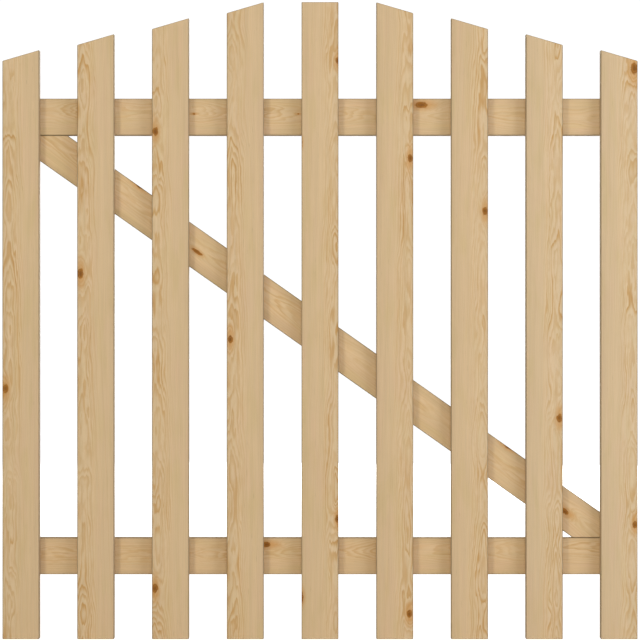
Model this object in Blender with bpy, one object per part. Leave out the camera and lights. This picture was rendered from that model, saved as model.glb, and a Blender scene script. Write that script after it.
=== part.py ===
"""Garden gate leaf: upright pickets screwed from behind to two rails and a diagonal brace.

Frame: metres, +Z up, +X towards the hanging side, the pickets' faces towards -Y. The origin is at the
bottom centre of the leaf, in the plane where the pickets meet the rails. All boards are planed softwood.
The screws are driven from the back, so no fastener shows on the front.
"""

import math

import bmesh
import bpy
from mathutils import Vector

MM = 0.001

# Pickets
PICKET_COUNT = 9
PICKET_WIDTH = 58 * MM
PICKET_THICKNESS = 18 * MM
PICKET_GAP = 59.4 * MM
LEAF_HEIGHT = 1000 * MM
TOP_STEP = 25 * MM  # how much shorter each picket is than its neighbour nearer the middle
TOP_CUT_DROP = 17 * MM  # fall of a slanted top across one picket

# Rails and brace
RAIL_WIDTH = 58 * MM
BRACE_WIDTH = 58 * MM
BACK_BOARD_THICKNESS = 18 * MM  # rails and brace lie in one layer
LOW_RAIL_HEIGHT = 100 * MM  # from the pickets' feet to the low rail's lower edge
TOP_RAIL_DROP = 150 * MM  # from the middle picket's top to the top rail's upper edge

# Planed edges
ARRIS = 1.0 * MM
ARRIS_SEGMENTS = 1

# Countersunk wood screws
SCREW_DIAMETER = 4.0 * MM
SCREW_HEAD_DIAMETER = 8.0 * MM
SCREW_HEAD_RIM = 0.4 * MM
SCREW_HEAD_SINK = 0.3 * MM
SCREW_LENGTH = 30 * MM
SCREW_TIP_LENGTH = 5 * MM
SCREW_EDGE_DISTANCE = 15 * MM  # from a screw's axis to the board edges that cross there
SCREW_SIDES = 12
DRIVE_POINT_RADIUS = 1.9 * MM
DRIVE_FLUTE_RADIUS = 1.35 * MM
DRIVE_DEPTH = 1.6 * MM
PILOT_RUN_OUT = 1.0 * MM  # how far a pilot hole goes on past the screw's point

# Fits
FIT_GAP = 0.3 * MM
CUTTER_OVERRUN = 2.0 * MM

# Derived sizes
PICKET_PITCH = PICKET_WIDTH + PICKET_GAP
LEAF_WIDTH = PICKET_COUNT * PICKET_WIDTH + (PICKET_COUNT - 1) * PICKET_GAP
PICKET_FRONT_Y = -FIT_GAP / 2 - PICKET_THICKNESS
PICKET_BACK_Y = -FIT_GAP / 2
BACK_LAYER_FRONT_Y = FIT_GAP / 2
BACK_LAYER_BACK_Y = FIT_GAP / 2 + BACK_BOARD_THICKNESS
LOW_RAIL_TOP_Z = LOW_RAIL_HEIGHT + RAIL_WIDTH
TOP_RAIL_BOTTOM_Z = LEAF_HEIGHT - TOP_RAIL_DROP - RAIL_WIDTH
SCREW_HEAD_Y = BACK_LAYER_BACK_Y - SCREW_HEAD_SINK
SCREW_BITE = SCREW_LENGTH - (SCREW_HEAD_Y - PICKET_BACK_Y)  # depth that a screw reaches into a picket
SCREW_RADIUS = SCREW_DIAMETER / 2
SCREW_HEAD_RADIUS = SCREW_HEAD_DIAMETER / 2
SCREW_CONE_END = SCREW_HEAD_RIM + SCREW_HEAD_RADIUS - SCREW_RADIUS  # a 90 degree countersunk head

PICKET_PINE = {"colour": (0.60, 0.43, 0.24, 1), "roughness": 0.62, "metallic": 0.0}
RAIL_PINE = {"colour": (0.54, 0.37, 0.20, 1), "roughness": 0.66, "metallic": 0.0}
ZINC = {"colour": (0.72, 0.70, 0.64, 1), "roughness": 0.34, "metallic": 1.0}


def clear_scene():
    for obj in list(bpy.data.objects):
        bpy.data.objects.remove(obj)


def make_material(name, finish):
    material = bpy.data.materials.new(name)
    material.use_nodes = True
    shader = material.node_tree.nodes["Principled BSDF"]
    shader.inputs["Base Color"].default_value = finish["colour"]
    shader.inputs["Roughness"].default_value = finish["roughness"]
    shader.inputs["Metallic"].default_value = finish["metallic"]
    return material


def add_object(name, mesh, material, leaf, location):
    obj = bpy.data.objects.new(name, mesh)
    bpy.context.scene.collection.objects.link(obj)
    if not mesh.materials:
        mesh.materials.append(material)
    obj.parent = leaf
    obj.location = location
    return obj


def board_mesh(name, outline, thickness):
    """A board from its outline in X and Z, with its front face at Y = 0 and its back at +Y."""
    mesh = bpy.data.meshes.new(name)
    bm = bmesh.new()
    face = bm.faces.new([bm.verts.new((x, 0, z)) for x, z in outline])
    extruded = bmesh.ops.extrude_face_region(bm, geom=[face])
    back = [item for item in extruded["geom"] if isinstance(item, bmesh.types.BMVert)]
    bmesh.ops.translate(bm, verts=back, vec=(0, thickness, 0))
    bmesh.ops.recalc_face_normals(bm, faces=bm.faces)
    bm.to_mesh(mesh)
    bm.free()
    return mesh


def ease_edges(board):
    """Takes the sharpness off a board's edges, before its holes are drilled."""
    bevel = board.modifiers.new("arris", "BEVEL")
    bevel.width = ARRIS
    bevel.segments = ARRIS_SEGMENTS
    bevel.limit_method = "ANGLE"


def ring(bm, radii, centre, depth):
    """One turn of points around an axis along -Y from centre, with radii that repeat round the turn."""
    points = []
    for i in range(SCREW_SIDES):
        angle = 2 * math.pi * i / SCREW_SIDES
        r = radii[i % len(radii)]
        points.append(bm.verts.new(centre + Vector((r * math.cos(angle), -depth, r * math.sin(angle)))))
    return points


def add_turned(bm, rings, end=None):
    """Skins a row of rings, and closes it with flat ends or with a point."""
    for first, second in zip(rings, rings[1:]):
        for i in range(SCREW_SIDES):
            j = (i + 1) % SCREW_SIDES
            bm.faces.new((first[i], first[j], second[j], second[i]))
    bm.faces.new(rings[0])
    if end is None:
        bm.faces.new(rings[-1])
        return
    for i in range(SCREW_SIDES):
        bm.faces.new((rings[-1][i], rings[-1][(i + 1) % SCREW_SIDES], end))


def mesh_from(bm, name):
    bmesh.ops.recalc_face_normals(bm, faces=bm.faces)
    mesh = bpy.data.meshes.new(name)
    bm.to_mesh(mesh)
    bm.free()
    return mesh


def screw_mesh():
    """A countersunk screw with a six-point recess. Its head's top is at Y = 0 and it points along -Y."""
    bm = bmesh.new()
    origin = Vector((0, 0, 0))
    drive = (DRIVE_POINT_RADIUS, DRIVE_FLUTE_RADIUS)
    rings = [
        ring(bm, drive, origin, DRIVE_DEPTH),
        ring(bm, drive, origin, 0),
        ring(bm, (SCREW_HEAD_RADIUS,), origin, 0),
        ring(bm, (SCREW_HEAD_RADIUS,), origin, SCREW_HEAD_RIM),
        ring(bm, (SCREW_RADIUS,), origin, SCREW_CONE_END),
        ring(bm, (SCREW_RADIUS,), origin, SCREW_LENGTH - SCREW_TIP_LENGTH),
    ]
    add_turned(bm, rings, bm.verts.new((0, -SCREW_LENGTH, 0)))
    return mesh_from(bm, "screw")


def add_clearance_hole(bm, x, z):
    """The hole for one screw through a rail or the brace, countersunk for its head."""
    centre = Vector((x, SCREW_HEAD_Y, z))
    wide = (SCREW_HEAD_RADIUS + FIT_GAP,)
    narrow = (SCREW_RADIUS + FIT_GAP,)
    layer_end = SCREW_HEAD_Y - BACK_LAYER_FRONT_Y + CUTTER_OVERRUN
    add_turned(
        bm,
        [
            ring(bm, wide, centre, -SCREW_HEAD_SINK - CUTTER_OVERRUN),
            ring(bm, wide, centre, SCREW_HEAD_RIM),
            ring(bm, narrow, centre, SCREW_CONE_END),
            ring(bm, narrow, centre, layer_end),
        ],
    )


def add_pilot_hole(bm, x, z):
    """The blind hole for one screw in a picket, open at the picket's back."""
    centre = Vector((x, PICKET_BACK_Y, z))
    radii = (SCREW_RADIUS + FIT_GAP,)
    add_turned(
        bm,
        [
            ring(bm, radii, centre, -CUTTER_OVERRUN),
            ring(bm, radii, centre, SCREW_BITE + PILOT_RUN_OUT),
        ],
    )


def drill(board, places, add_hole, leaf):
    """Cuts a board's screw holes with one hidden cutter, placed in the leaf's own frame."""
    bm = bmesh.new()
    for x, z in places:
        add_hole(bm, x, z)
    cutter = bpy.data.objects.new(board.name + "_drill", mesh_from(bm, board.name + "_drill"))
    bpy.context.scene.collection.objects.link(cutter)
    cutter.parent = leaf
    cutter.hide_render = True
    cutter.display_type = "WIRE"
    cut = board.modifiers.new("screw_holes", "BOOLEAN")
    cut.operation = "DIFFERENCE"
    cut.solver = "EXACT"
    cut.object = cutter


def picket_x(index):
    return (index - (PICKET_COUNT - 1) / 2) * PICKET_PITCH


def picket_outline(index):
    """A picket's outline about its own centre line, with a top that falls away from the leaf's middle."""
    from_middle = index - (PICKET_COUNT - 1) / 2
    half = PICKET_WIDTH / 2
    if from_middle == 0:
        left = right = LEAF_HEIGHT
    else:
        tall = LEAF_HEIGHT - TOP_STEP * (math.ceil(abs(from_middle)) - 1)
        short = tall - TOP_CUT_DROP
        left, right = (short, tall) if from_middle < 0 else (tall, short)
    return [(-half, 0), (half, 0), (half, right), (-half, left)]


def brace_angle():
    """The brace's fall below level, where its long edges pass through opposite corners of the bay."""
    rise = TOP_RAIL_BOTTOM_Z - LOW_RAIL_TOP_Z
    return math.atan2(rise, LEAF_WIDTH) + math.asin(BRACE_WIDTH / math.hypot(LEAF_WIDTH, rise))


def brace_outline():
    """The brace about its own middle, lying along X, with both ends mitred to sit level on the rails."""
    angle = brace_angle()
    rise = TOP_RAIL_BOTTOM_Z - LOW_RAIL_TOP_Z - 2 * FIT_GAP
    half_length = rise / math.sin(angle) / 2
    half_width = BRACE_WIDTH / 2
    mitre = half_width / math.tan(angle)
    return [
        (-half_length - mitre, -half_width),
        (half_length - mitre, -half_width),
        (half_length + mitre, half_width),
        (-half_length + mitre, half_width),
    ]


def brace_middle():
    return Vector((0, BACK_LAYER_FRONT_Y, (TOP_RAIL_BOTTOM_Z + LOW_RAIL_TOP_Z) / 2))


def brace_corners():
    """The brace's corners in the leaf's X and Z."""
    angle = brace_angle()
    middle = brace_middle()
    return [
        (u * math.cos(angle) + v * math.sin(angle), middle.z - u * math.sin(angle) + v * math.cos(angle))
        for u, v in brace_outline()
    ]


def clipped(polygon, limit, side):
    """The part of a polygon where side * x is at most side * limit."""
    kept = []
    for (xa, za), (xb, zb) in zip(polygon, polygon[1:] + polygon[:1]):
        a_in = side * xa <= side * limit
        b_in = side * xb <= side * limit
        if a_in:
            kept.append((xa, za))
        if a_in != b_in:
            share = (limit - xa) / (xb - xa)
            kept.append((limit, za + share * (zb - za)))
    return kept


def centroid(polygon):
    area = cx = cz = 0
    for (xa, za), (xb, zb) in zip(polygon, polygon[1:] + polygon[:1]):
        cross = xa * zb - xb * za
        area += cross / 2
        cx += (xa + xb) * cross / 6
        cz += (za + zb) * cross / 6
    return cx / area, cz / area


def rail_screw_places(index, rail_bottom_z):
    """Two screws on the diagonal of the square where a picket crosses a rail."""
    dx = PICKET_WIDTH / 2 - SCREW_EDGE_DISTANCE
    dz = RAIL_WIDTH / 2 - SCREW_EDGE_DISTANCE
    x = picket_x(index)
    z = rail_bottom_z + RAIL_WIDTH / 2
    return [(x - dx, z + dz), (x + dx, z - dz)]


def brace_screw_place(index):
    """One screw in the middle of the area that the brace and a picket share."""
    x = picket_x(index)
    shared = clipped(clipped(brace_corners(), x + PICKET_WIDTH / 2, 1), x - PICKET_WIDTH / 2, -1)
    return centroid(shared)


def add_pickets(leaf, pine):
    for index in range(PICKET_COUNT):
        name = f"picket_{index + 1}"
        mesh = board_mesh(name, picket_outline(index), PICKET_THICKNESS)
        picket = add_object(name, mesh, pine, leaf, (picket_x(index), PICKET_FRONT_Y, 0))
        ease_edges(picket)
        places = (
            rail_screw_places(index, TOP_RAIL_BOTTOM_Z)
            + rail_screw_places(index, LOW_RAIL_HEIGHT)
            + [brace_screw_place(index)]
        )
        drill(picket, places, add_pilot_hole, leaf)


def add_rail(name, bottom_z, leaf, pine):
    half = LEAF_WIDTH / 2
    outline = [(-half, 0), (half, 0), (half, RAIL_WIDTH), (-half, RAIL_WIDTH)]
    mesh = board_mesh(name, outline, BACK_BOARD_THICKNESS)
    rail = add_object(name, mesh, pine, leaf, (0, BACK_LAYER_FRONT_Y, bottom_z))
    ease_edges(rail)
    places = [p for index in range(PICKET_COUNT) for p in rail_screw_places(index, bottom_z)]
    drill(rail, places, add_clearance_hole, leaf)


def add_brace(leaf, pine):
    mesh = board_mesh("brace", brace_outline(), BACK_BOARD_THICKNESS)
    brace = add_object("brace", mesh, pine, leaf, brace_middle())
    brace.rotation_euler = (0, brace_angle(), 0)
    ease_edges(brace)
    drill(brace, [brace_screw_place(index) for index in range(PICKET_COUNT)], add_clearance_hole, leaf)


def add_screws(leaf, zinc):
    mesh = screw_mesh()
    for index in range(PICKET_COUNT):
        top = rail_screw_places(index, TOP_RAIL_BOTTOM_Z)
        low = rail_screw_places(index, LOW_RAIL_HEIGHT)
        places = {
            f"top_rail_screw_{index + 1}a": top[0],
            f"top_rail_screw_{index + 1}b": top[1],
            f"low_rail_screw_{index + 1}a": low[0],
            f"low_rail_screw_{index + 1}b": low[1],
            f"brace_screw_{index + 1}": brace_screw_place(index),
        }
        for name, (x, z) in places.items():
            add_object(name, mesh, zinc, leaf, (x, SCREW_HEAD_Y, z))


def main():
    clear_scene()
    leaf = bpy.data.objects.new("gate_leaf", None)
    bpy.context.scene.collection.objects.link(leaf)
    picket_pine = make_material("picket_pine", PICKET_PINE)
    rail_pine = make_material("rail_pine", RAIL_PINE)
    zinc = make_material("zinc_plated_steel", ZINC)
    add_pickets(leaf, picket_pine)
    add_rail("top_rail", TOP_RAIL_BOTTOM_Z, leaf, rail_pine)
    add_rail("low_rail", LOW_RAIL_HEIGHT, leaf, rail_pine)
    add_brace(leaf, rail_pine)
    add_screws(leaf, zinc)


main()
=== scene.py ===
"""Looks for a picket gate leaf: planed pine boards, countersunk screws and a pale studio."""

import logging
import math
import random
from dataclasses import dataclass, field
from enum import Enum
from typing import Any, Iterable, Sequence

import bmesh
import bpy
from mathutils import Euler, Matrix, Vector


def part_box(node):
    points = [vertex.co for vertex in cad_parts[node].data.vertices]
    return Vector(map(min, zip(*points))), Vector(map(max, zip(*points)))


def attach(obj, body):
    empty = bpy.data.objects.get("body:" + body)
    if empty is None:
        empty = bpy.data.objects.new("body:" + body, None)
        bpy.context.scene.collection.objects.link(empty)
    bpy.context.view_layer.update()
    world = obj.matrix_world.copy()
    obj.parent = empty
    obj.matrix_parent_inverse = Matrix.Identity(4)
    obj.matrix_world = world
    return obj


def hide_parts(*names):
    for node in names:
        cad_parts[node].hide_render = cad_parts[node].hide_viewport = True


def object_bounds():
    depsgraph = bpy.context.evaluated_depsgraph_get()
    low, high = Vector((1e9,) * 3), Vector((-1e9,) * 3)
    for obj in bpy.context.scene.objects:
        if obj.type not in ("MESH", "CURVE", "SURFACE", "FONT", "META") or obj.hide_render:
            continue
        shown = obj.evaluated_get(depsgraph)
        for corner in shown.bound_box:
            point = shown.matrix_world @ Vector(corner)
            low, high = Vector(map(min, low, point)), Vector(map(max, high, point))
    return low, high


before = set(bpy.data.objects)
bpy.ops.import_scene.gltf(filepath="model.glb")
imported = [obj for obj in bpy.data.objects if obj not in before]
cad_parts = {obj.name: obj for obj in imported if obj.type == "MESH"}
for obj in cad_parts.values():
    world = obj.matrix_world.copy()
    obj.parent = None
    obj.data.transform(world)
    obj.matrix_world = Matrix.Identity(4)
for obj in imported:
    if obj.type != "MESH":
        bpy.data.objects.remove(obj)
CAD_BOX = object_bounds()

LOG = logging.getLogger("gate")
MM = 0.001
BODY = "root"

Colour = tuple[float, float, float]


# ---------------------------------------------------------------------------------------------------------
# Shader graphs
# ---------------------------------------------------------------------------------------------------------


class Carries(Enum):
    """What a group's socket carries."""

    NUMBER = "NodeSocketFloat"
    VECTOR = "NodeSocketVector"
    COLOUR = "NodeSocketColor"


class Graph:
    """A node tree under construction, with short calls for the nodes that the finishes use."""

    def __init__(self, tree: bpy.types.NodeTree) -> None:
        """Starts on an existing tree.

        Args:
            tree: The node tree to build in.
        """
        self.tree = tree

    def node(self, kind: str, **settings: Any) -> bpy.types.Node:
        """Adds a node.

        Args:
            kind: Blender's name for the node, without its ShaderNode prefix.
            settings: Properties to set on the node.

        Returns:
            The new node.
        """
        node = self.tree.nodes.new("ShaderNode" + kind)
        for name, value in settings.items():
            setattr(node, name, value)
        return node

    def feed(self, socket: bpy.types.NodeSocket, value: Any) -> None:
        """Links a socket into another, or sets its value.

        Args:
            socket: The input to feed.
            value: An output socket, or a constant.
        """
        if isinstance(value, bpy.types.NodeSocket):
            self.tree.links.new(value, socket)
        else:
            socket.default_value = value

    def maths(self, operation: str, *values: Any) -> bpy.types.NodeSocket:
        """Works out one number from others.

        Args:
            operation: The Math node's operation.
            values: Its inputs, each a socket or a number.

        Returns:
            The result's socket.
        """
        node = self.node("Math", operation=operation)
        for socket, value in zip(node.inputs, values):
            self.feed(socket, value)
        return node.outputs[0]

    def split(self, vector: Any) -> list[bpy.types.NodeSocket]:
        """Takes a vector apart.

        Args:
            vector: The vector's socket.

        Returns:
            The sockets of its X, Y and Z.
        """
        node = self.node("SeparateXYZ")
        self.feed(node.inputs[0], vector)
        return list(node.outputs)

    def join(self, x: Any, y: Any, z: Any) -> bpy.types.NodeSocket:
        """Puts a vector together.

        Args:
            x: Its X, a socket or a number.
            y: Its Y.
            z: Its Z.

        Returns:
            The vector's socket.
        """
        node = self.node("CombineXYZ")
        for socket, value in zip(node.inputs, (x, y, z)):
            self.feed(socket, value)
        return node.outputs[0]

    def length(self, x: Any, y: Any) -> bpy.types.NodeSocket:
        """Works out how long a flat vector is.

        Args:
            x: Its first part.
            y: Its second part.

        Returns:
            The length's socket.
        """
        node = self.node("VectorMath", operation="LENGTH")
        self.feed(node.inputs[0], self.join(x, y, 0.0))
        return node.outputs["Value"]

    def most(self, values: Sequence[Any]) -> Any:
        """Finds the largest of some numbers, none of them below zero.

        Args:
            values: Their sockets.

        Returns:
            The largest one's socket, or zero if there are none.
        """
        result: Any = 0.0
        for value in values:
            result = value if result == 0.0 else self.maths("MAXIMUM", result, value)
        return result

    def grey(self, value: Any) -> bpy.types.NodeSocket:
        """Makes a grey from a brightness.

        Args:
            value: The brightness.

        Returns:
            The colour's socket.
        """
        node = self.node("CombineColor")
        for socket in node.inputs[:3]:
            self.feed(socket, value)
        return node.outputs[0]

    def local(self, vector: Any, middle: Vector, turn: float) -> bpy.types.NodeSocket:
        """Reads a place in the axes of a board that was turned and moved into the leaf.

        Args:
            vector: A place or a direction in the leaf's axes.
            middle: Where the board's origin is.
            turn: The board's turn about Y.

        Returns:
            The socket of the same place in the board's own axes.
        """
        node = self.node("Mapping", vector_type="TEXTURE")
        self.feed(node.inputs["Vector"], vector)
        node.inputs["Location"].default_value = middle
        node.inputs["Rotation"].default_value = Euler((0.0, turn, 0.0))
        return node.outputs[0]

    def stretch(self, vector: Any, scale: Vector | Sequence[float]) -> bpy.types.NodeSocket:
        """Scales a vector axis by axis.

        Args:
            vector: The vector's socket.
            scale: The three factors.

        Returns:
            The scaled vector's socket.
        """
        node = self.node("VectorMath", operation="MULTIPLY")
        self.feed(node.inputs[0], vector)
        self.feed(node.inputs[1], scale)
        return node.outputs[0]

    def step(
        self, value: Any, start: float, end: float, low: Any = 0.0, high: Any = 1.0
    ) -> bpy.types.NodeSocket:
        """Passes smoothly from one value to another.

        Args:
            value: The socket that drives the change.
            start: Where the change starts.
            end: Where the change ends.
            low: The result before start.
            high: The result after end.

        Returns:
            The result's socket.
        """
        node = self.node("MapRange", interpolation_type="SMOOTHSTEP")
        for socket, item in zip(node.inputs, (value, start, end, low, high)):
            self.feed(socket, item)
        return node.outputs[0]

    def noise(
        self, vector: Any, detail: float = 2.0, roughness: float = 0.5, seed: Any = 0.0
    ) -> bpy.types.NodeSocket:
        """Samples noise with features about one unit across.

        Args:
            vector: Where to sample.
            detail: The number of finer layers.
            roughness: How strong the finer layers are.
            seed: Moves the whole pattern.

        Returns:
            The socket of a number about 0.5.
        """
        node = self.node("TexNoise", noise_dimensions="4D")
        values = {"Vector": vector, "W": seed, "Scale": 1.0, "Detail": detail, "Roughness": roughness}
        for name, value in values.items():
            self.feed(node.inputs[name], value)
        return node.outputs[0]

    def swing(self, noise: Any, size: Any) -> bpy.types.NodeSocket:
        """Centres a noise on zero and scales it.

        Args:
            noise: A number about 0.5.
            size: The swing to either side, roughly.

        Returns:
            The result's socket.
        """
        return self.maths("MULTIPLY", self.maths("MULTIPLY_ADD", noise, 2.0, -1.0), size)

    def blend(self, share: Any, first: Any, second: Any, mode: str = "MIX") -> bpy.types.NodeSocket:
        """Mixes two colours.

        Args:
            share: How much of the second shows.
            first: The colour below.
            second: The colour above.
            mode: The mix's blend mode.

        Returns:
            The mixed colour's socket.
        """
        node = self.node("Mix", data_type="RGBA", blend_type=mode)
        for name, value in (("Factor_Float", share), ("A_Color", first), ("B_Color", second)):
            socket = next(s for s in node.inputs if s.identifier == name)
            self.feed(socket, value)
        return next(s for s in node.outputs if s.identifier == "Result_Color")

    def use(self, group: bpy.types.NodeTree, **values: Any) -> bpy.types.Node:
        """Places a shader group.

        Args:
            group: The group's tree.
            values: Its inputs, with _ for a space in their names.

        Returns:
            The group's node.
        """
        node = self.node("Group", node_tree=group)
        for name, value in values.items():
            self.feed(node.inputs[name.replace("_", " ")], value)
        return node


class ShaderGroup(Graph):
    """A reusable effect with named inputs and outputs."""

    def __init__(self, name: str, inputs: dict[str, Carries], outputs: dict[str, Carries]) -> None:
        """Makes an empty group.

        Args:
            name: The group's name.
            inputs: What each input carries.
            outputs: What each output carries.
        """
        super().__init__(bpy.data.node_groups.new(name, "ShaderNodeTree"))
        for in_out, sockets in (("INPUT", inputs), ("OUTPUT", outputs)):
            for label, carries in sockets.items():
                self.tree.interface.new_socket(name=label, in_out=in_out, socket_type=carries.value)
        self.given = self.tree.nodes.new("NodeGroupInput").outputs
        self.result = self.tree.nodes.new("NodeGroupOutput").inputs

    def give(self, **values: Any) -> bpy.types.NodeTree:
        """Feeds the group's outputs.

        Args:
            values: A value for each output, with _ for a space in their names.

        Returns:
            The finished group.
        """
        for name, value in values.items():
            self.feed(self.result[name.replace("_", " ")], value)
        return self.tree


def rgba(colour: Colour) -> tuple[float, float, float, float]:
    """Adds full opacity to a colour."""
    return (*colour, 1.0)


# ---------------------------------------------------------------------------------------------------------
# Finishes
# ---------------------------------------------------------------------------------------------------------


@dataclass(frozen=True)
class Knot:
    """A branch stub that crosses a board from face to face.

    Attributes:
        across: Its place across the board from the middle, on the front face.
        along: Its place along the board from the board's own origin.
        radius: Half its width.
        lean: How far it moves across for each metre of depth.
        rise: How far it moves along for each metre of depth.
        long: Its length over its width.
        dark: How dark its core is, from 0 to 1.
    """

    across: float
    along: float
    radius: float = 4.0 * MM
    lean: float = 0.0
    rise: float = 0.25
    long: float = 1.5
    dark: float = 0.9


@dataclass(frozen=True)
class Grain:
    """How one board was cut from the log.

    Attributes:
        heart_across: The log's heart across the board from the middle.
        heart_depth: The log's heart behind the front face.
        lean: How far the rings close in on the heart for each metre up the log.
        drift: How far the heart moves across for each metre along the board.
        sway: How far the heart wanders on the way.
        ring: The mean width of a growth ring.
        tint: What the wood's colour is multiplied by; the paler, bluer tints of the three right-hand
            pickets are painted light.
        seed: Makes this board unlike the others.
        knots: The knots in it.
        figure: How strongly the rings show near the heart, where 1 is a picket's.
    """

    heart_across: float
    heart_depth: float
    lean: float = 0.0
    drift: float = 0.0
    sway: float = 13 * MM
    ring: float = 2.5 * MM
    tint: Colour = (1.0, 1.0, 1.0)
    seed: float = 0.0
    knots: tuple[Knot, ...] = ()
    figure: float = 1.0


@dataclass(frozen=True)
class PineFinish:
    """Planed pine with no stain or varnish, as solid wood that runs through each board.

    Attributes:
        pale: Early wood.
        dark: Late wood, the narrow dark part of each ring.
        warm: The darker patches of the wood near the heart.
        gold: The rest of the wood near the heart.
        rosy: The tint of the broad pinker streaks.
        straw: The tint of the broad yellower streaks.
        resin: The resin-rich wood round a knot.
        knot: A knot's core.
        bark: The rim of a knot.
        roughness: The roughness of early wood.
        specular: The shine of its surface.
        rosy_share: How far the rosy streaks cover the pale wood.
        straw_share: How far the straw streaks cover it.
        gold_share: How far the wood near the heart turns gold.
        warm_share: How far the mottle near the heart turns warm.
        figure_share: How far late wood near the heart turns dark.
        plain_share: How far late wood anywhere turns dark.
        halo_share: How far the wood round a knot turns to resin.
        heart_wood: How far from the heart its wood begins to pale, and where it is pale.
    """

    pale: Colour = (0.682, 0.494, 0.280)
    dark: Colour = (0.560, 0.315, 0.105)
    warm: Colour = (0.590, 0.370, 0.160)
    gold: Colour = (0.765, 0.580, 0.340)
    rosy: Colour = (0.690, 0.470, 0.285)
    straw: Colour = (0.640, 0.472, 0.240)
    resin: Colour = (0.590, 0.290, 0.075)
    knot: Colour = (0.405, 0.152, 0.008)
    bark: Colour = (0.152, 0.045, 0.002)
    roughness: float = 0.70
    specular: float = 0.22
    rosy_share: float = 0.5
    straw_share: float = 0.7
    gold_share: float = 0.34
    warm_share: float = 0.3
    figure_share: float = 0.90
    plain_share: float = 0.17
    halo_share: float = 0.70
    heart_wood: tuple[float, float] = (14 * MM, 30 * MM)

    def knot_group(self) -> bpy.types.NodeTree:
        """Builds the effect of one knot on the wood around it.

        Returns:
            A group that tells how deep in the knot a point is, and how far the rings bend round it.
        """
        numbers = ("Across", "Along", "Radius", "Long", "Lean", "Rise", "Dark")
        group = ShaderGroup(
            "knot",
            {"Place": Carries.VECTOR} | {name: Carries.NUMBER for name in numbers},
            {name: Carries.NUMBER for name in ("Inside", "Rim", "Halo", "Bulge")},
        )
        given, maths = group.given, group.maths
        x, y, z = group.split(given["Place"])
        dx = maths("SUBTRACT", x, maths("MULTIPLY_ADD", given["Lean"], y, given["Across"]))
        dz = maths("SUBTRACT", z, maths("MULTIPLY_ADD", given["Rise"], y, given["Along"]))
        patchy = group.noise(group.stretch(given["Place"], (200, 90, 140)), 2.0, 0.6)
        ragged = group.swing(patchy, 0.7)
        distance = group.length(dx, maths("DIVIDE", dz, given["Long"]))
        reach = maths("ADD", maths("DIVIDE", distance, given["Radius"]), ragged)
        rings = maths("MULTIPLY_ADD", maths("SINE", maths("MULTIPLY", reach, 15.0)), 0.10, 0.90)
        inner, outer = group.step(reach, 0.50, 0.90, 0.0, 0.65), group.step(reach, 0.90, 1.30, 1.0, 0.0)
        rim = maths("MULTIPLY", inner, outer)
        rim = maths("MULTIPLY", rim, group.step(patchy, 0.38, 0.60, 0.15, 1.0))
        heart = group.step(reach, 0.20, 0.95, 0.75, 0.0)
        flow = maths("DIVIDE", group.length(dx, maths("MULTIPLY", dz, 0.34)), given["Radius"])
        fall = maths("EXPONENT", maths("MULTIPLY", maths("MULTIPLY", flow, flow), -0.25))
        return group.give(
            Inside=maths("MULTIPLY", group.step(reach, 0.85, 1.30, 1.0, 0.0), rings),
            Rim=maths("MULTIPLY", maths("MAXIMUM", heart, rim), given["Dark"]),
            Halo=group.step(maths("ADD", flow, ragged), 0.6, 2.7, 1.0, 0.0),
            Bulge=maths("MULTIPLY", fall, maths("MULTIPLY", given["Radius"], 2.2)),
        )

    def rings_group(self) -> bpy.types.NodeTree:
        """Builds the growth rings round the log's heart.

        Returns:
            A group that tells how late in its ring a point grew, and how far from the heart it lies.
        """
        numbers = ("Heart Across", "Heart Depth", "Lean", "Drift", "Sway", "Ring", "Bulge", "Seed")
        group = ShaderGroup(
            "growth_rings",
            {"Place": Carries.VECTOR} | {name: Carries.NUMBER for name in numbers},
            {name: Carries.NUMBER for name in ("Late", "From Heart")},
        )
        given, maths = group.given, group.maths
        place, seed = given["Place"], given["Seed"]
        x, y, z = group.split(place)
        bends = []
        for row, pace in ((3.0, 5.0), (8.0, 9.0)):
            bend = group.noise(group.join(0.0, row, maths("MULTIPLY", z, pace)), 1.5, 0.5, seed)
            bends.append(group.swing(bend, given["Sway"]))
        heart_x = maths("MULTIPLY_ADD", bends[0], 0.3, given["Heart Across"])
        heart_x = maths("MULTIPLY_ADD", given["Drift"], z, heart_x)
        heart_y = maths("ADD", given["Heart Depth"], bends[1])
        radius = group.length(maths("SUBTRACT", x, heart_x), maths("SUBTRACT", y, heart_y))
        broad = group.swing(group.noise(group.stretch(place, (75, 75, 11)), 1.0, 0.5, seed), 6.0 * MM)
        fine = group.swing(group.noise(group.stretch(place, (260, 260, 34)), 1.5, 0.6, seed), 1.7 * MM)
        flat = group.step(radius, 14 * MM, 34 * MM, 1.0, 0.12)
        waves = maths("MULTIPLY", maths("ADD", broad, fine), flat)
        taper = maths("MULTIPLY", given["Lean"], z)
        grown = maths("ADD", maths("ADD", radius, given["Bulge"]), maths("ADD", waves, taper))
        even = maths("DIVIDE", grown, given["Ring"])
        uneven = group.noise(group.join(maths("MULTIPLY", even, 0.45), 0.0, 0.0), 1.0, 0.5, seed)
        years = maths("ADD", even, group.swing(uneven, 0.9))
        part = maths("FRACT", years)
        season = maths("MULTIPLY", group.step(part, 0.22, 0.82), group.step(part, 0.84, 1.0, 1.0, 0.0))
        year = group.node("TexWhiteNoise", noise_dimensions="1D")
        group.feed(year.inputs["W"], maths("ADD", maths("FLOOR", years), seed))
        strength = maths("MULTIPLY_ADD", year.outputs["Value"], 0.6, 0.4)
        return group.give(Late=maths("MULTIPLY", season, strength), From_Heart=radius)

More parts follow.
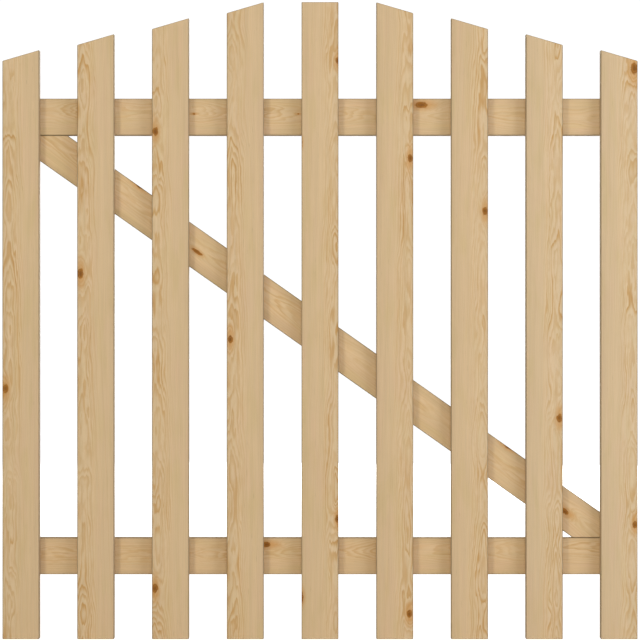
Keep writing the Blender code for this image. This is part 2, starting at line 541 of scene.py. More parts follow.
    def planed_group(self) -> bpy.types.NodeTree:
        """Builds the planed surface: fibres, resin ducts, broad streaks, cutter marks and sawn ends.

        Returns:
            A group with masks from 0 to 1 and a height in metres.
        """
        numbers = ("End", "Late", "Seed")
        outputs = ("Fibre", "Duct", "Rosy", "Straw", "Stripe", "Mottle", "Figure", "Height")
        group = ShaderGroup(
            "planed_surface",
            {"Place": Carries.VECTOR} | {name: Carries.NUMBER for name in numbers},
            {name: Carries.NUMBER for name in outputs},
        )
        given, maths = group.given, group.maths
        place, seed = given["Place"], given["Seed"]
        fibre = group.noise(group.stretch(place, (620, 620, 14)), 3.0, 0.6, seed)
        ducts = group.noise(group.stretch(place, (900, 900, 60)), 0.0, 0.5, seed)
        in_late = maths("MULTIPLY_ADD", given["Late"], 0.7, 0.3)
        duct = maths("MULTIPLY", group.step(ducts, 0.74, 0.82), in_late)
        streaks = []
        for scale, apart in (((48, 48, 9.0), 5.0), ((56, 56, 11.0), 9.0)):
            streak = group.noise(group.stretch(place, scale), 2.0, 0.5, maths("ADD", seed, apart))
            streaks.append(group.step(streak, 0.46, 0.72))
        mottle = group.step(group.noise(group.stretch(place, (150, 150, 42)), 3.0, 0.65, seed), 0.42, 0.66)
        stripe = group.noise(group.stretch(place, (210, 210, 3.5)), 2.0, 0.6, seed)
        figure = group.noise(group.stretch(place, (12, 12, 11)), 1.0, 0.5, seed)
        figure = group.step(figure, 0.36, 0.60, 0.35, 1.0)
        _, _, z = group.split(place)
        cutter = maths("MULTIPLY", maths("SINE", maths("MULTIPLY", z, 3400.0)), 0.002 * MM)
        sawn = group.noise(group.stretch(place, (700, 260, 700)), 3.0, 0.7, seed)
        along = maths("MULTIPLY_ADD", given["Late"], 0.03 * MM, maths("MULTIPLY", fibre, 0.035 * MM))
        flat = maths("ADD", maths("ADD", along, cutter), maths("MULTIPLY", duct, -0.05 * MM))
        end = maths("MULTIPLY", maths("MULTIPLY", sawn, given["End"]), 0.12 * MM)
        return group.give(
            Fibre=fibre,
            Duct=duct,
            Rosy=streaks[0],
            Straw=streaks[1],
            Stripe=stripe,
            Mottle=mottle,
            Figure=figure,
            Height=maths("ADD", flat, end),
        )


class Pine:
    """The pine finish as Blender materials: one for each board, which share their shader groups."""

    def __init__(self, finish: PineFinish) -> None:
        """Builds the shared groups.

        Args:
            finish: The wood's colours.
        """
        self.finish = finish
        self.knot = finish.knot_group()
        self.rings = finish.rings_group()
        self.planed = finish.planed_group()

    def material(self, name: str, middle: Vector, turn: float, grain: Grain) -> bpy.types.Material:
        """Makes one board's material.

        Args:
            name: The material's name.
            middle: The board's own origin, on its front face.
            turn: The board's turn about Y, which takes its length from upright.
            grain: How the board was cut from the log.

        Returns:
            The material.
        """
        material = bpy.data.materials.new(name)
        material.use_nodes = True
        graph = Graph(material.node_tree)
        shader = material.node_tree.nodes["Principled BSDF"]
        maths = graph.maths
        coordinates = graph.node("TexCoord")
        place = graph.local(coordinates.outputs["Object"], middle, turn)
        facing = graph.local(coordinates.outputs["Normal"], Vector(), turn)
        end = graph.step(maths("ABSOLUTE", graph.split(facing)[2]), 0.45, 0.8)

        knots = [
            graph.use(
                self.knot,
                Place=place,
                Across=k.across,
                Along=k.along,
                Radius=k.radius,
                Long=k.long,
                Lean=k.lean,
                Rise=k.rise,
                Dark=k.dark,
            )
            for k in grain.knots
        ]
        bulge, inside, rim, halo = (
            graph.most([k.outputs[name] for k in knots]) for name in ("Bulge", "Inside", "Rim", "Halo")
        )
        rings = graph.use(
            self.rings,
            Place=place,
            Heart_Across=grain.heart_across,
            Heart_Depth=grain.heart_depth,
            Lean=grain.lean,
            Drift=grain.drift,
            Sway=grain.sway,
            Ring=grain.ring,
            Bulge=bulge,
            Seed=grain.seed,
        )
        late = rings.outputs["Late"]
        planed = graph.use(self.planed, Place=place, End=end, Late=late, Seed=grain.seed)

        f = self.finish
        rosy = maths("MULTIPLY", planed.outputs["Rosy"], f.rosy_share)
        pale = graph.blend(rosy, rgba(f.pale), rgba(f.rosy))
        pale = graph.blend(maths("MULTIPLY", planed.outputs["Straw"], f.straw_share), pale, rgba(f.straw))
        near = graph.step(rings.outputs["From Heart"], *f.heart_wood, 1.0, 0.0)
        wood = graph.blend(maths("MULTIPLY", near, f.gold_share), pale, rgba(f.gold))
        mottle = maths("MULTIPLY", maths("MULTIPLY", near, planed.outputs["Mottle"]), f.warm_share)
        wood = graph.blend(mottle, wood, rgba(f.warm))
        figured = maths("MULTIPLY", near, planed.outputs["Figure"])
        shows = maths("MULTIPLY_ADD", figured, f.figure_share * grain.figure, f.plain_share)
        wood = graph.blend(maths("MULTIPLY", late, shows), wood, rgba(f.dark))
        wood = graph.blend(maths("MULTIPLY", halo, f.halo_share), wood, rgba(f.resin))
        wood = graph.blend(inside, wood, rgba(f.knot))
        wood = graph.blend(rim, wood, rgba(f.bark))
        grey = maths("MULTIPLY_ADD", planed.outputs["Fibre"], 0.16, 0.84)
        grey = maths("MULTIPLY_ADD", planed.outputs["Stripe"], 0.16, grey)
        grey = maths("MULTIPLY", grey, maths("MULTIPLY_ADD", planed.outputs["Duct"], -0.18, 1.0))
        grey = maths("MULTIPLY", grey, maths("MULTIPLY_ADD", end, -0.26, 1.0))
        # Painted shade: side faces and rounded arrises are darkened by the way they face, the arrises
        # most, as if little light reached them.
        side = maths("ABSOLUTE", graph.split(facing)[0])
        arris, flank = graph.step(side, 0.0, 0.5, 0.0, 0.42), graph.step(side, 0.85, 1.0, 0.0, 0.20)
        painted_side_shade = maths("SUBTRACT", arris, flank)
        grey = maths("MULTIPLY", grey, maths("SUBTRACT", 1.0, painted_side_shade))
        wood = graph.blend(1.0, wood, graph.grey(grey), "MULTIPLY")
        wood = graph.blend(1.0, wood, rgba(grain.tint), "MULTIPLY")
        graph.feed(shader.inputs["Base Color"], wood)
        rough = maths("MULTIPLY_ADD", late, -0.10, f.roughness)
        rough = maths("MULTIPLY_ADD", end, 0.2, maths("MULTIPLY_ADD", inside, -0.12, rough))
        graph.feed(shader.inputs["Roughness"], rough)
        shader.inputs["Specular IOR Level"].default_value = f.specular
        bump = graph.node("Bump")
        bump.inputs["Strength"].default_value = 1.0
        bump.inputs["Distance"].default_value = 1.0
        graph.feed(bump.inputs["Height"], planed.outputs["Height"])
        graph.feed(shader.inputs["Normal"], bump.outputs["Normal"])
        return material


@dataclass(frozen=True)
class ZincFinish:
    """Zinc plating with a faint yellow tinge, as on wood screws.

    Attributes:
        bright: The plating.
        dull: Its cloudier patches.
        roughness: Of the bright plating.
        recess: How dark the painted shade at the bottom of the recess is, where 1 is as bright as the
            head.
    """

    bright: Colour = (0.72, 0.68, 0.56)
    dull: Colour = (0.52, 0.47, 0.36)
    roughness: float = 0.30
    recess: float = 0.22

    def material(self, top: float) -> bpy.types.Material:
        """Makes the plating's material.

        Args:
            top: The Y of the heads' tops, below which painted shade darkens the recesses.

        Returns:
            The material.
        """
        material = bpy.data.materials.new("zinc_plate")
        material.use_nodes = True
        graph = Graph(material.node_tree)
        shader = material.node_tree.nodes["Principled BSDF"]
        shader.inputs["Metallic"].default_value = 1.0
        place = graph.node("TexCoord").outputs["Object"]
        cloud = graph.step(graph.noise(graph.stretch(place, (900, 900, 900)), 3.0, 0.6), 0.35, 0.7)
        plate = graph.blend(cloud, rgba(self.bright), rgba(self.dull))
        # Painted shade: the plating darkens with depth below the heads' tops, so the recesses look shaded.
        painted_recess_shade = graph.step(graph.split(place)[1], top - 1.1 * MM, top - 0.3 * MM, self.recess, 1.0)
        graph.feed(shader.inputs["Base Color"], graph.blend(1.0, plate, graph.grey(painted_recess_shade), "MULTIPLY"))
        graph.feed(shader.inputs["Roughness"], graph.maths("MULTIPLY_ADD", cloud, 0.2, self.roughness))
        return material


# ---------------------------------------------------------------------------------------------------------
# Meshes
# ---------------------------------------------------------------------------------------------------------


def add_piece(
    name: str, bm: bmesh.types.BMesh, node: str, material: bpy.types.Material
) -> bpy.types.Object:
    """Turns a finished bmesh into a piece that stands for a CAD node.

    Args:
        name: The piece's name.
        bm: Its shape in the leaf's frame, which is freed.
        node: The CAD node that it replaces.
        material: Its finish.

    Returns:
        The piece, riding on the leaf.
    """
    mesh = bpy.data.meshes.new(name)
    bm.to_mesh(mesh)
    bm.free()
    mesh.materials.append(material)
    piece = bpy.data.objects.new(name, mesh)
    bpy.context.scene.collection.objects.link(piece)
    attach(piece, BODY)
    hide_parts(node)
    LOG.info("%s: %d faces, for %s", name, len(mesh.polygons), node)
    return piece


def extrude_ring(
    bm: bmesh.types.BMesh, edges: Iterable[bmesh.types.BMEdge], rise: float
) -> list[bmesh.types.BMEdge]:
    """Extrudes a ring of edges along Z.

    Args:
        bm: The mesh.
        edges: The ring.
        rise: How far it moves.

    Returns:
        The new ring.
    """
    made = bmesh.ops.extrude_edge_only(bm, edges=list(edges))["geom"]
    verts = {item for item in made if isinstance(item, bmesh.types.BMVert)}
    bmesh.ops.translate(bm, verts=list(verts), vec=(0, 0, rise))
    return [item for item in made if isinstance(item, bmesh.types.BMEdge) and verts.issuperset(item.verts)]


def draw_ring(
    bm: bmesh.types.BMesh, edges: Iterable[bmesh.types.BMEdge], height: float, radius: float
) -> list[bmesh.types.BMEdge]:
    """Carries a ring about Z on to a round ring.

    Args:
        bm: The mesh.
        edges: The ring.
        height: The new ring's Z.
        radius: The new ring's radius.

    Returns:
        The new ring.
    """
    ring = extrude_ring(bm, edges, 0.0)
    for vert in {vert for edge in ring for vert in edge.verts}:
        flat = vert.co.xy.normalized() * radius
        vert.co = (flat.x, flat.y, height)
    return ring


def cut_with(piece: bpy.types.Object, cutter: bmesh.types.BMesh) -> None:
    """Takes a cutter's shape out of a piece for good.

    Args:
        piece: The piece to cut.
        cutter: The closed shape to take out, which is freed.
    """
    mesh = bpy.data.meshes.new("cutter")
    cutter.to_mesh(mesh)
    cutter.free()
    tool = bpy.data.objects.new("cutter", mesh)
    bpy.context.scene.collection.objects.link(tool)
    cut = piece.modifiers.new("cut", "BOOLEAN")
    cut.operation, cut.solver, cut.object = "DIFFERENCE", "EXACT", tool
    evaluated = piece.evaluated_get(bpy.context.evaluated_depsgraph_get())
    result = bpy.data.meshes.new_from_object(evaluated)
    piece.modifiers.clear()
    old, piece.data = piece.data, result
    result.name = piece.name
    bpy.data.meshes.remove(old)
    bpy.data.objects.remove(tool)
    bpy.data.meshes.remove(mesh)


def smooth_by_angle(piece: bpy.types.Object, degrees: float) -> None:
    """Shades a piece smooth, except over its sharper edges.

    Args:
        piece: The piece to shade.
        degrees: The angle from which an edge stays sharp.
    """
    piece.data.shade_smooth()
    piece.data.set_sharp_from_angle(angle=math.radians(degrees))


@dataclass
class Board:
    """One planed board, made upright about its own origin, then turned into place.

    Its own axes are X across, Y from the front face to the back and Z along the length.

    Attributes:
        node: The CAD node that the board stands for.
        width: Across.
        thickness: Front to back.
        low: The lower end along the length.
        high: The upper end along the length.
        middle: Where the board's origin goes in the leaf.
        turn: The turn about Y that takes the length from upright.
        grain: How it was cut from the log.
        cuts: Planes in the board's own axes, each a point and the normal of what is sawn off.
        holes: Places in the leaf's X and Z where screws pass through.
        arris: The radius along the planed edges.
        saw_arris: The small break along the sawn ends.
    """

    node: str
    width: float
    thickness: float
    low: float
    high: float
    middle: Vector
    turn: float
    grain: Grain
    cuts: list[tuple[Vector, Vector]] = field(default_factory=list)
    holes: list[Vector] = field(default_factory=list)
    arris: float = 1.6 * MM
    saw_arris: float = 0.8 * MM

    def build(self, pine: Pine) -> bpy.types.Object:
        """Makes the board's piece.

        Args:
            pine: The wood's finish.

        Returns:
            The piece.
        """
        bm = bmesh.new()
        bmesh.ops.create_cube(bm, size=1.0)
        bmesh.ops.scale(bm, vec=(self.width, self.thickness, self.high - self.low), verts=bm.verts)
        bmesh.ops.translate(bm, vec=(0.0, self.thickness / 2, (self.low + self.high) / 2), verts=bm.verts)
        for point, normal in self.cuts:
            self.saw(bm, point, normal)
        self.ease(bm)
        place = Matrix.Translation(self.middle) @ Matrix.Rotation(self.turn, 4, "Y")
        bmesh.ops.transform(bm, matrix=place, verts=bm.verts)
        material = pine.material(self.node + "_pine", self.middle, self.turn, self.grain)
        piece = add_piece(self.node + "_board", bm, self.node, material)
        if self.holes:
            self.drill(piece)
        smooth_by_angle(piece, 28.0)
        return piece

    def saw(self, bm: bmesh.types.BMesh, point: Vector, normal: Vector) -> None:
        """Saws off what lies beyond a plane, and closes the cut.

        Args:
            bm: The board.
            point: A point on the plane.
            normal: The way that the waste lies.
        """
        everything = [*bm.verts, *bm.edges, *bm.faces]
        bmesh.ops.bisect_plane(bm, geom=everything, plane_co=point, plane_no=normal, clear_outer=True)
        rim = [edge for edge in bm.edges if edge.is_boundary]
        bmesh.ops.edgeloop_fill(bm, edges=rim)

    def ease(self, bm: bmesh.types.BMesh) -> None:
        """Rounds the planed edges, and breaks the sawn ones.

        Args:
            bm: The board, before it is turned into place.
        """
        bm.normal_update()
        long_edges = [edge for edge in bm.edges if self.runs_along(edge)]
        how = {"profile": 0.5, "affect": "EDGES", "material": -1, "clamp_overlap": True}
        bmesh.ops.bevel(bm, geom=long_edges, offset=self.arris, segments=4, **how)
        bm.normal_update()
        ends = {face for face in bm.faces if abs(face.normal.z) > 0.3}
        sawn = [edge for edge in bm.edges if len(ends.intersection(edge.link_faces)) == 1]
        bmesh.ops.bevel(bm, geom=sawn, offset=self.saw_arris, segments=1, **how)

    @staticmethod
    def runs_along(edge: bmesh.types.BMEdge) -> bool:
        """Tells a planed edge, which runs the board's full length, from a sawn one."""
        run = edge.verts[1].co - edge.verts[0].co
        return abs(run.x) < 0.1 * MM and abs(run.y) < 0.1 * MM

    def drill(self, piece: bpy.types.Object) -> None:
        """Cuts the countersunk screw holes.

        Args:
            piece: The board's piece, in place.
        """
        cutter = bmesh.new()
        for hole in self.holes:
            Screw.add_countersink(cutter, hole)
        cut_with(piece, cutter)


@dataclass
class Screw:
    """One countersunk wood screw with a six-lobed recess, driven towards -Y.

    Attributes:
        node: The CAD node that the screw stands for.
        turn: How far it was driven round, in radians.
        sides: The facets of its round parts.
        recess: The recess's mean radius.
        lobe: How far the recess's lobes stand in and out.
        recess_depth: How deep the recess is.
        core: The radius of the shank under the thread.
        neck: The length of plain shank above the thread.
        pitch: The thread's pitch.
    """

    node: str
    turn: float
    sides: int = 48
    recess: float = 1.65 * MM
    lobe: float = 0.28 * MM
    recess_depth: float = 1.5 * MM
    core: float = 1.35 * MM
    neck: float = 12 * MM
    pitch: float = 1.8 * MM

    @staticmethod
    def add_countersink(bm: bmesh.types.BMesh, place: Vector) -> None:
        """Adds the shape of one screw's hole to a cutter.

        Args:
            bm: The cutter.
            place: The middle of the screw head's top.
        """
        head, shank, sink = 4.12 * MM, 2.25 * MM, 0.4 * MM
        above, below = 3.0 * MM, 24.0 * MM
        rows = [(above, head), (-sink, head), (-sink - (head - shank), shank), (-below, shank)]
        made = bmesh.ops.create_circle(bm, cap_ends=True, segments=40, radius=head)
        verts = list(made["verts"])
        edges = list({edge for vert in verts for edge in vert.link_edges})
        bmesh.ops.translate(bm, verts=verts, vec=(0, 0, rows[0][0]))
        for z, radius in rows[1:]:
            edges = draw_ring(bm, edges, z, radius)
            verts += {vert for edge in edges for vert in edge.verts}
        bmesh.ops.edgeloop_fill(bm, edges=edges)
        about = Matrix.Translation(place) @ Matrix.Rotation(-math.pi / 2, 4, "X")
        bmesh.ops.transform(bm, matrix=about, verts=verts)

    def build(self, plating: bpy.types.Material) -> bpy.types.Object:
        """Makes the screw's piece.

        Args:
            plating: The screw's finish.

        Returns:
            The piece.
        """
        low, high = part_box(self.node)
        length, head = high.y - low.y, (high.x - low.x) / 2
        bm = bmesh.new()
        self.add_body(bm, length, head)
        self.add_thread(bm, length, head / 2)
        middle = Vector(((low.x + high.x) / 2, high.y, (low.z + high.z) / 2))
        driven = Matrix.Rotation(-math.pi / 2, 4, "X") @ Matrix.Rotation(self.turn, 4, "Z")
        bmesh.ops.transform(bm, matrix=Matrix.Translation(middle) @ driven, verts=bm.verts)
        piece = add_piece(self.node + "_steel", bm, self.node, plating)
        smooth_by_angle(piece, 35.0)
        return piece

    def add_body(self, bm: bmesh.types.BMesh, length: float, head: float) -> None:
        """Adds the head with its recess, the shank and the point, down from Z = 0.

        Args:
            bm: The screw.
            length: Over all.
            head: The head's radius.
        """
        made = bmesh.ops.create_circle(bm, cap_ends=True, segments=self.sides, radius=self.recess)
        floor = made["verts"]
        for vert in floor:
            lobed = self.recess + self.lobe * math.cos(6 * math.atan2(vert.co.y, vert.co.x))
            vert.co *= lobed / self.recess
        bmesh.ops.translate(bm, verts=floor, vec=(0, 0, -self.recess_depth))
        rim = [edge for edge in bm.edges if edge.is_boundary]
        wall = extrude_ring(bm, rim, self.recess_depth)
        for vert in {v for edge in wall for v in edge.verts}:
            vert.co.xy *= 1.03
        rows = [
            (0.0, head - 0.25 * MM),
            (-0.08 * MM, head - 0.07 * MM),
            (-0.25 * MM, head),
            (-0.42 * MM, head),
            (-0.42 * MM - (head - head / 2), head / 2),
            (-self.neck, head / 2),
            (-self.neck - 1.0 * MM, self.core),
            (-(length - 5 * MM), self.core),
            (-(length - 0.4 * MM), 0.15 * MM),
        ]
        edges = wall
        for z, radius in rows:
            edges = draw_ring(bm, edges, z, radius)
        bmesh.ops.edgeloop_fill(bm, edges=edges)
        bmesh.ops.recalc_face_normals(bm, faces=bm.faces)

    def add_thread(self, bm: bmesh.types.BMesh, length: float, radius: float) -> None:
        """Adds the thread's ridge, sunk a little into the shank.

        Args:
            bm: The screw.
            length: The screw's length over all.
            radius: The thread's outer radius.
        """
        turns = (length - self.neck - 6 * MM) / self.pitch
        steps = round(turns * 16)
        root = self.core - 0.1 * MM
        profile = [(root, 0.35 * MM), (radius, 0.0), (root, -0.35 * MM)]
        verts = [bm.verts.new((r, 0, dz - self.neck - 1.0 * MM)) for r, dz in profile]
        bmesh.ops.spin(
            bm,
            geom=[bm.faces.new(verts)],
            cent=(0, 0, 0),
            axis=(0, 0, 1),
            dvec=(0, 0, -turns * self.pitch / steps),
            angle=turns * math.tau,
            steps=steps,
            use_merge=False,
            use_duplicate=False,
        )
        bmesh.ops.recalc_face_normals(bm, faces=bm.faces)


# ---------------------------------------------------------------------------------------------------------
# The leaf
# ---------------------------------------------------------------------------------------------------------


def middle_of(node: str) -> Vector:
    """Finds the middle of a CAD node's box."""
    low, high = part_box(node)
    return (low + high) / 2


def screw_heads(*prefixes: str) -> list[Vector]:
    """Finds where screws' head tops are.

    Args:
        prefixes: The beginnings of the screws' node names.

    Returns:
        The middle of each head's top.
    """
    heads = []
    for node in sorted(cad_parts):
        if node.startswith(prefixes):
            middle = middle_of(node)
            middle.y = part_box(node)[1].y
            heads.append(middle)
    return heads


@dataclass
class Pickets:
    """The row of upright boards.

    Attributes:
        count: How many there are.
        top_fall: How far a slanted top falls across one picket.
        grains: How each was cut from its log, from -X to +X.
    """

    count: int = 9
    top_fall: float = 17 * MM
    grains: tuple[Grain, ...] = (
        Grain(
            -20 * MM,
            13 * MM,
            0.034,
            0.003,
            seed=1.3,
            knots=(Knot(-24 * MM, 0.393, 4.2 * MM, dark=0.7),),
        ),
        Grain(-20 * MM, 14 * MM, 0.038, 0.0, seed=2.9, knots=(Knot(-24 * MM, 0.574, 4.6 * MM),)),
        Grain(
            -21 * MM,
            12 * MM,
            0.034,
            -0.002,
            seed=4.1,
            knots=(Knot(-23.5 * MM, 0.797, 4.0 * MM), Knot(-24 * MM, 0.080, 4.2 * MM)),
        ),
        Grain(-20 * MM, 14 * MM, 0.036, 0.002, seed=5.7, knots=(Knot(-23.4 * MM, 0.471, 3.8 * MM),)),
        Grain(
            25 * MM,
            12 * MM,
            0.034,
            0.0,
            seed=6.2,
            knots=(
                Knot(28.5 * MM, 0.908, 3.6 * MM),
                Knot(27.6 * MM, 0.189, 3.6 * MM),
                Knot(-29.5 * MM, 0.066, 3.4 * MM, long=2.4),
                Knot(-30 * MM, 0.78, 2.4 * MM),
            ),
        ),
        Grain(
            21 * MM,
            13 * MM,
            0.035,
            0.0,
            seed=7.8,
            knots=(Knot(24.3 * MM, 0.755, 3.8 * MM), Knot(23.0 * MM, 0.040, 3.8 * MM)),
        ),
        # Painted light: the three right-hand pickets get paler, bluer tints, growing to the right, that
        # stand in for the cool light and sheen on the leaf's right side.
        Grain(
            20 * MM,
            12 * MM,
            0.037,
            0.002,
            tint=(1.0, 1.0, 1.01),
            seed=8.4,
            knots=(Knot(24.3 * MM, 0.672, 3.8 * MM),),
        ),
        Grain(
            19 * MM,
            12 * MM,
            0.033,
            0.001,
            tint=(1.0, 1.018, 1.05),
            seed=9.9,
            knots=(Knot(23.4 * MM, 0.347, 4.0 * MM),),
        ),
        Grain(
            22 * MM,
            12 * MM,
            0.035,
            -0.002,
            tint=(1.0, 1.023, 1.06),
            seed=11.1,
            knots=(Knot(24.0 * MM, 0.896, 5.6 * MM), Knot(24.6 * MM, 0.180, 3.5 * MM)),
        ),
    )

    def build(self, pine: Pine) -> None:
        """Makes the pickets.

        Args:
            pine: The wood's finish.
        """
        for index, grain in enumerate(self.grains):
            node = f"picket_{index + 1}"
            low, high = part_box(node)
            side = index - (self.count - 1) // 2
            middle = Vector(((low.x + high.x) / 2, low.y, 0.0))
            cuts = []
            top = high.z
            if side:
                top += self.top_fall
                away = math.copysign(1.0, side)
                width = high.x - low.x
                tall = Vector((-away * width / 2, 0, high.z))
                cuts.append((tall, Vector((away * self.top_fall, 0, width)).normalized()))
            Board(node, high.x - low.x, high.y - low.y, low.z, top, middle, 0.0, grain, cuts).build(pine)


@dataclass
class Rails:
    """The two rails and the brace behind the pickets.

    Attributes:
        brace_width: The brace across its grain.
        top: How the top rail was cut from its log.
        low: How the low rail was cut from its log.
        brace: How the brace was cut from its log.
    """

    brace_width: float = 58 * MM
    top: Grain = Grain(
        heart_across=6 * MM,
        heart_depth=17 * MM,
        lean=0.036,
        drift=0.012,
        sway=14 * MM,
        ring=2.6 * MM,
        tint=(1.020, 1.010, 0.985),
        seed=21.4,
        knots=(
            Knot(19 * MM, -0.160, 4.6 * MM, long=1.9),
            Knot(5 * MM, 0.199, 1.3 * MM, dark=0.0),
            Knot(5 * MM, 0.034, 1.1 * MM, dark=0.0),
        ),
        figure=0.55,
    )
    low: Grain = Grain(
        heart_across=7 * MM,
        heart_depth=15 * MM,
        lean=0.036,
        drift=-0.010,
        sway=14 * MM,
        ring=2.5 * MM,
        tint=(1.020, 0.992, 0.945),
        seed=23.7,
        knots=(Knot(18 * MM, 0.084, 4.2 * MM, long=1.2),),
        figure=0.55,
    )
    brace: Grain = Grain(
        heart_across=4 * MM,
        heart_depth=18 * MM,
        lean=0.032,
        drift=0.010,
        sway=10 * MM,
        ring=2.7 * MM,
        tint=(1.030, 1.012, 0.970),
        seed=25.2,
        knots=(
            Knot(-2.8 * MM, 0.235, 2.5 * MM, long=3.6),
            Knot(-2.5 * MM, -0.474, 3.8 * MM),
            Knot(30 * MM, 0.369, 3.6 * MM),
            Knot(30 * MM, -0.342, 3.6 * MM),
        ),
        figure=0.5,
    )

    def build(self, pine: Pine) -> None:
        """Makes the rails and the brace.

        Args:
            pine: The wood's finish.
        """
        for node, grain in (("top_rail", self.top), ("low_rail", self.low)):
            low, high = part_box(node)
            middle = Vector((0.0, low.y, (low.z + high.z) / 2))
            size = high - low
            holes = screw_heads(node + "_screw")
            turn = -math.pi / 2
            Board(node, size.z, size.y, -high.x, -low.x, middle, turn, grain, holes=holes).build(pine)
        self.build_brace(pine)

    def build_brace(self, pine: Pine) -> None:
        """Makes the brace, mitred to sit level on both rails.

        Args:
            pine: The wood's finish.
        """
        low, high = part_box("brace")
        rail_low, rail_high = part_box("top_rail")
        bay_width = rail_high.x - rail_low.x
        bay_rise = rail_low.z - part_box("low_rail")[1].z
        diagonal = math.hypot(bay_width, bay_rise)
        slope = math.atan2(bay_rise, bay_width) + math.asin(self.brace_width / diagonal)
        turn = slope - math.pi / 2
        middle = Vector((0.0, low.y, (low.z + high.z) / 2))
        up = Matrix.Rotation(-turn, 3, "Y") @ Vector((0, 0, 1))
        reach = (high.z - low.z) / 2
        cuts = [(up * reach, up), (-up * reach, -up)]
        half = (high - low).length
        holes = screw_heads("brace_screw")
        Board(
            "brace", self.brace_width, high.y - low.y, -half, half, middle, turn, self.brace, cuts, holes
        ).build(pine)


@dataclass
class Screws:
    """All the screws, each driven round by its own chance.

    Attributes:
        seed: Fixes the chances.
    """

    seed: int = 5

    def build(self, finish: ZincFinish) -> None:
        """Makes the screws.

        Args:
            finish: Their finish.
        """
        chance = random.Random(self.seed)
        nodes = sorted(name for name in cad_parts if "_screw_" in name)
        plating = finish.material(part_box(nodes[0])[1].y)
        for node in nodes:
            Screw(node, chance.uniform(0.0, math.tau)).build(plating)


# ---------------------------------------------------------------------------------------------------------
# The studio
# ---------------------------------------------------------------------------------------------------------


@dataclass(frozen=True)
class Lamp:
    """One soft box, aimed at the leaf's middle.

    Attributes:
        name: The lamp's name.
        side: Its bearing from straight in front, in degrees, positive towards +X.
        rise: Its angle above level, in degrees.
        distance: How far it is from the leaf's middle.
        size: The side of its square face.
        light: The light that it throws on a face turned to it, where 1 shows a colour as it is.
        tint: The light's colour.
    """

    name: str
    side: float
    rise: float
    distance: float
    size: float
    light: float
    tint: Colour

    def build(self, target: Vector) -> None:
        """Hangs the lamp.

        Args:
            target: What it is aimed at.
        """
        bearing, rise = math.radians(self.side), math.radians(self.rise)
        level = Vector((math.sin(bearing), -math.cos(bearing), 0.0))
        way = level * math.cos(rise) + Vector((0.0, 0.0, math.sin(rise)))
        data = bpy.data.lights.new(self.name, "AREA")
        data.shape, data.size, data.color = "SQUARE", self.size, self.tint
        data.energy = self.light * math.pi**2 * self.distance**2
        lamp = bpy.data.objects.new(self.name, data)
        lamp.location = target + way * self.distance
        lamp.rotation_euler = way.to_track_quat("Z", "Y").to_euler()
        bpy.context.scene.collection.objects.link(lamp)


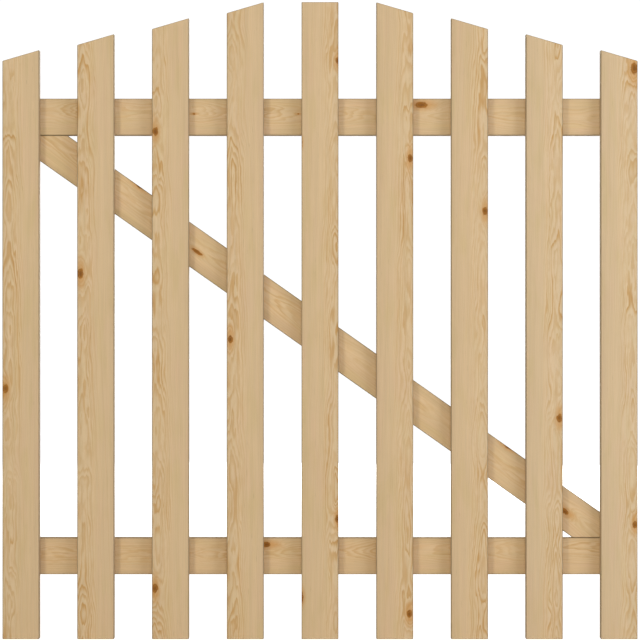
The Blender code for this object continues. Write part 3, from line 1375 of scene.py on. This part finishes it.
@dataclass
class Studio:
    """A white floor and white surroundings, soft boxes and a long lens straight in front.

    Attributes:
        lamps: The soft boxes.
        ambient: The light that comes evenly from all round.
        glow: The light that the floor shows of its own, which keeps it white.
        lens: The camera's focal length, in millimetres on a 36 mm frame.
        margin: The height of the view over the leaf's height.
        floor_size: The side of the floor.
    """

    lamps: tuple[Lamp, ...] = (
        Lamp("key_left", -29.0, 12.0, 6.0, 1.25, 0.24, (1.0, 0.97, 0.86)),
        Lamp("key_right", 52.4, 4.0, 3.4, 1.7, 0.345, (0.97, 1.01, 1.15)),
        Lamp("front", 2.0, 20.0, 5.0, 2.4, 0.18, (1.0, 1.005, 1.05)),
        Lamp("back", 172.0, 8.0, 5.0, 2.0, 0.42, (1.0, 0.99, 0.97)),
    )
    ambient: float = 0.29
    glow: float = 0.85
    lens: float = 150.0
    margin: float = 1.0044
    floor_size: float = 60.0

    def build(self) -> None:
        """Sets up the floor, the light and the camera."""
        low, high = CAD_BOX
        centre = (low + high) / 2
        self.build_floor(low.z)
        for lamp in self.lamps:
            lamp.build(centre)
        self.build_world()
        self.build_camera(low, high)
        view = bpy.context.scene.view_settings
        view.view_transform, view.look, view.exposure, view.gamma = "Standard", "None", 0.0, 1.0

    def build_floor(self, height: float) -> None:
        """Lays the floor.

        Args:
            height: The floor's height.
        """
        bm = bmesh.new()
        bmesh.ops.create_grid(bm, x_segments=1, y_segments=1, size=self.floor_size / 2)
        bmesh.ops.translate(bm, verts=bm.verts, vec=(0, 0, height))
        mesh = bpy.data.meshes.new("floor")
        bm.to_mesh(mesh)
        bm.free()
        floor = bpy.data.objects.new("floor", mesh)
        material = bpy.data.materials.new("floor_white")
        material.use_nodes = True
        graph = Graph(material.node_tree)
        shader = material.node_tree.nodes["Principled BSDF"]
        shader.inputs["Base Color"].default_value = (0.8, 0.8, 0.8, 1.0)
        shader.inputs["Roughness"].default_value = 0.9
        shader.inputs["Specular IOR Level"].default_value = 0.0
        shader.inputs["Emission Color"].default_value = (1.0, 1.0, 1.0, 1.0)
        seen = graph.node("LightPath").outputs["Is Camera Ray"]
        graph.feed(shader.inputs["Emission Strength"], graph.maths("MULTIPLY", seen, self.glow))
        mesh.materials.append(material)
        bpy.context.scene.collection.objects.link(floor)

    def build_world(self) -> None:
        """Makes the even white surroundings."""
        world = bpy.data.worlds.new("studio")
        bpy.context.scene.world = world
        world.use_nodes = True
        graph = Graph(world.node_tree)
        background = world.node_tree.nodes["Background"]
        background.inputs["Color"].default_value = (1.0, 1.0, 1.0, 1.0)
        seen = graph.node("LightPath").outputs["Is Camera Ray"]
        strength = graph.maths("MULTIPLY_ADD", seen, 1.05 - self.ambient, self.ambient)
        graph.feed(background.inputs["Strength"], strength)

    def build_camera(self, low: Vector, high: Vector) -> None:
        """Places the camera straight in front, level with the leaf's middle.

        Args:
            low: The leaf's lowest corner.
            high: The leaf's highest corner.
        """
        data = bpy.data.cameras.new("camera")
        data.lens, data.sensor_width = self.lens, 36.0
        data.clip_end = self.floor_size
        distance = (high.z - low.z) * self.margin * self.lens / data.sensor_width
        camera = bpy.data.objects.new("camera", data)
        camera.location = ((low.x + high.x) / 2, low.y - distance, (low.z + high.z) / 2 + 1.0 * MM)
        camera.rotation_euler = Euler((math.pi / 2, 0.0, 0.0))
        bpy.context.scene.collection.objects.link(camera)
        bpy.context.scene.camera = camera


def main() -> None:
    """Builds the studio and the leaf."""
    logging.basicConfig(level=logging.INFO, format="%(name)s: %(message)s")
    Studio().build()
    pine = Pine(PineFinish())
    Pickets().build(pine)
    Rails().build(pine)
    Screws().build(ZincFinish())


if __name__ == "__main__":
    main()
